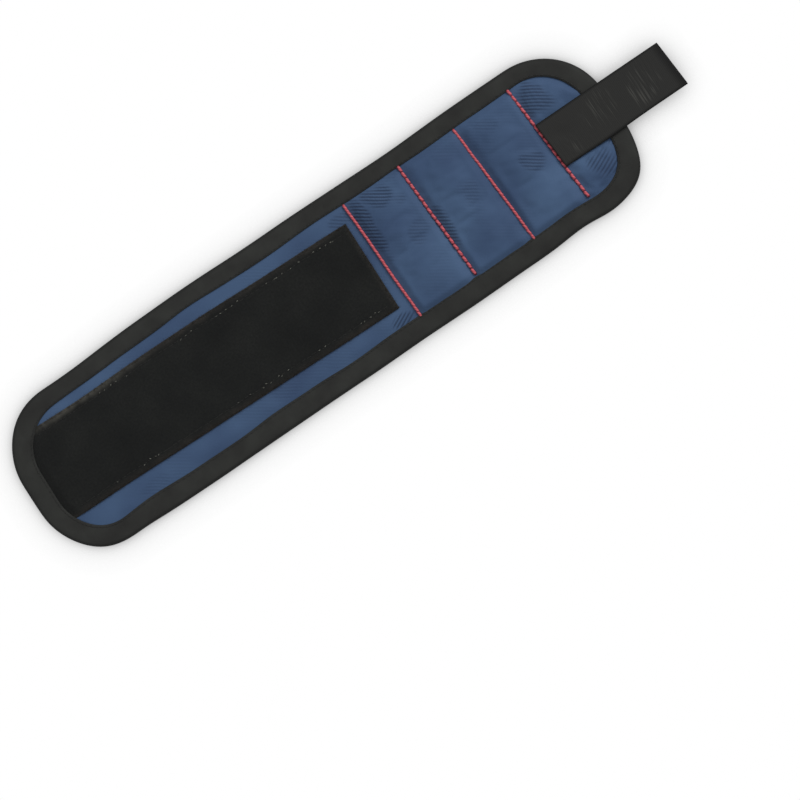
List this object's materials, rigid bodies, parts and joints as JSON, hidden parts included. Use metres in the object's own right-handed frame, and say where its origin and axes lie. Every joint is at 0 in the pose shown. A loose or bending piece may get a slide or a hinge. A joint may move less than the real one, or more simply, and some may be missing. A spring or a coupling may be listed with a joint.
{
  "type": "magnetic wristband",
  "caption": "Flat padded wristband with a bound edge, magnet pockets in its twill face, a long loop patch, a hook patch on its mesh back and a strap tab that closes it.",
  "frame": {"origin": "centre of the bounding box, on the back face that the flat band lies on", "axes": "+X along the band towards the strap tab, +Y across the band, +Z out of its face"},
  "size_m": [0.395, 0.09, 0.007],
  "materials": {
    "twill": "blue polyester twill with a faint diagonal rib",
    "air_mesh": "black knitted air mesh with open diamond holes",
    "binding_tape": "black grosgrain binding tape",
    "loop_pile": "black napped loop pile",
    "hook_tape": "dark grey moulded nylon hooks with smooth borders",
    "webbing": "black woven webbing, faint cross ribs",
    "red_thread": "red polyester sewing thread",
    "foam": "off-white foam sheet",
    "ferrite": "plain sintered magnet"
  },
  "bodies": {
    "pocket_2": {"cover_pocket_2": "twill", "lining_pocket_2": "air_mesh", "binding_upper_pocket_2": "binding_tape", "binding_lower_pocket_2": "binding_tape", "red_seam_2": "red_thread", "magnet_carrier_2": "foam", "magnet_2_1": "ferrite", "magnet_2_2": "ferrite", "magnet_2_3": "ferrite"},
    "pocket_1": {"cover_pocket_1": "twill", "lining_pocket_1": "air_mesh", "binding_upper_pocket_1": "binding_tape", "binding_lower_pocket_1": "binding_tape", "red_seam_1": "red_thread", "magnet_carrier_1": "foam", "magnet_1_1": "ferrite", "magnet_1_2": "ferrite", "magnet_1_3": "ferrite"},
    "loop_1": {"cover_loop_1": "twill", "lining_loop_1": "air_mesh", "binding_upper_loop_1": "binding_tape", "binding_lower_loop_1": "binding_tape", "loop_patch_1": "loop_pile"},
    "loop_2": {"cover_loop_2": "twill", "lining_loop_2": "air_mesh", "binding_upper_loop_2": "binding_tape", "binding_lower_loop_2": "binding_tape", "loop_patch_2": "loop_pile"},
    "loop_3": {"cover_loop_3": "twill", "lining_loop_3": "air_mesh", "binding_upper_loop_3": "binding_tape", "binding_lower_loop_3": "binding_tape", "loop_patch_3": "loop_pile"},
    "loop_4": {"cover_loop_4": "twill", "lining_loop_4": "air_mesh", "binding_upper_loop_4": "binding_tape", "binding_lower_loop_4": "binding_tape", "loop_patch_4": "loop_pile"},
    "loop_5": {"cover_loop_5": "twill", "lining_loop_5": "air_mesh", "binding_loop_5": "binding_tape", "loop_patch_5": "loop_pile"},
    "pocket_3": {"cover_pocket_3": "twill", "lining_pocket_3": "air_mesh", "binding_upper_pocket_3": "binding_tape", "binding_lower_pocket_3": "binding_tape", "hook_patch_inner": "hook_tape", "red_seam_3": "red_thread", "magnet_carrier_3": "foam", "magnet_3_1": "ferrite", "magnet_3_2": "ferrite", "magnet_3_3": "ferrite"},
    "end_zone": {"cover_end_zone": "twill", "lining_end_zone": "air_mesh", "binding_end_zone": "binding_tape", "hook_patch_outer": "hook_tape", "red_seam_4": "red_thread", "strap_base": "webbing"},
    "tab": {"strap_tab": "webbing", "strap_tab_hook": "hook_tape"}
  },
  "joints": [
    {"name": "wrap", "type": "hinge", "parent": "pocket_2", "child": "pocket_1", "pos_m": [0.0514, 0, 0], "axis": [0, -1, 0], "range_deg": [0, 45]},
    {"name": "fold_loop_1", "type": "hinge", "parent": "pocket_1", "child": "loop_1", "pos_m": [0.017, 0, 0], "axis": [0, -1, 0], "range_deg": [0, 51]},
    {"name": "fold_loop_2", "type": "hinge", "parent": "loop_1", "child": "loop_2", "pos_m": [-0.0259, 0, 0], "axis": [0, -1, 0], "range_deg": [0, 54]},
    {"name": "fold_loop_3", "type": "hinge", "parent": "loop_2", "child": "loop_3", "pos_m": [-0.0688, 0, 0], "axis": [0, -1, 0], "range_deg": [0, 63.1]},
    {"name": "fold_loop_4", "type": "hinge", "parent": "loop_3", "child": "loop_4", "pos_m": [-0.1117, 0, 0], "axis": [0, -1, 0], "range_deg": [0, 64]},
    {"name": "fold_loop_5", "type": "hinge", "parent": "loop_4", "child": "loop_5", "pos_m": [-0.1546, 0, 0], "axis": [0, -1, 0], "range_deg": [0, 68]},
    {"name": "fold_pocket_3", "type": "hinge", "parent": "pocket_2", "child": "pocket_3", "pos_m": [0.0858, 0, 0], "axis": [0, 1, 0], "range_deg": [0, 44]},
    {"name": "fold_end_zone", "type": "hinge", "parent": "pocket_3", "child": "end_zone", "pos_m": [0.1202, 0, 0], "axis": [0, 1, 0], "range_deg": [0, 41]},
    {"name": "tab_bend", "type": "hinge", "parent": "end_zone", "child": "tab", "pos_m": [0.1605, 0, 0.007], "axis": [0, 1, 0], "range_deg": [-120, 40]}
  ],
  "couplings": [
    {"joint": "fold_loop_1", "follows": "wrap", "ratio": 1.13},
    {"joint": "fold_loop_2", "follows": "wrap", "ratio": 1.19},
    {"joint": "fold_loop_3", "follows": "wrap", "ratio": 1.4},
    {"joint": "fold_loop_4", "follows": "wrap", "ratio": 1.42},
    {"joint": "fold_loop_5", "follows": "wrap", "ratio": 1.5},
    {"joint": "fold_pocket_3", "follows": "wrap", "ratio": 0.97},
    {"joint": "fold_end_zone", "follows": "wrap", "ratio": 0.91}
  ]
}
